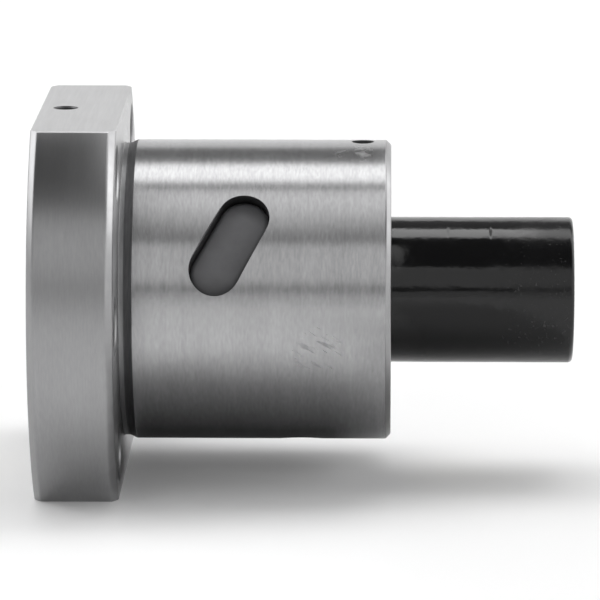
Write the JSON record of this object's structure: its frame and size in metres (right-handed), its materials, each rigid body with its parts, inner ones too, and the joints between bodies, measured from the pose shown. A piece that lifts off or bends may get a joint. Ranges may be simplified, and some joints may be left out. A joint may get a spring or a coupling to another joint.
{
  "type": "ball screw nut",
  "caption": "Flanged ball screw nut with milled flats, slanted return slots and internal ball circuits, supplied on a black tubular transport arbor that slides out of the bore.",
  "frame": {"origin": "on the screw axis, in the plane of the flange's seating face", "axes": "+X along the screw axis from the flange towards the nose, +Z square to the flange's two flats, towards the flat with the wiper lock hole"},
  "size_m": [0.0638, 0.058, 0.044],
  "materials": {
    "ground_steel": "ground",
    "grey_resin": "moulded",
    "ball_steel": "polished",
    "natural_nylon": "turned",
    "black_oxide_steel": "blackened",
    "black_plastic": "moulded gloss"
  },
  "bodies": {
    "nut": {"nut_body": "ground_steel", "return_insert_1": "grey_resin", "return_insert_2": "grey_resin", "return_insert_3": "grey_resin", "ball_circuit_1": "ball_steel", "ball_circuit_2": "ball_steel", "ball_circuit_3": "ball_steel", "wiper_flange_end": "natural_nylon", "wiper_nose_end": "natural_nylon", "wiper_screw_flange": "black_oxide_steel", "wiper_screw_nose": "black_oxide_steel"},
    "arbor": {"arbor_sleeve": "black_plastic"}
  },
  "joints": [
    {"name": "arbor_slide", "type": "slide", "parent": "nut", "child": "arbor", "axis": [1, 0, 0], "range_m": [-0.058, 0.036]}
  ]
}
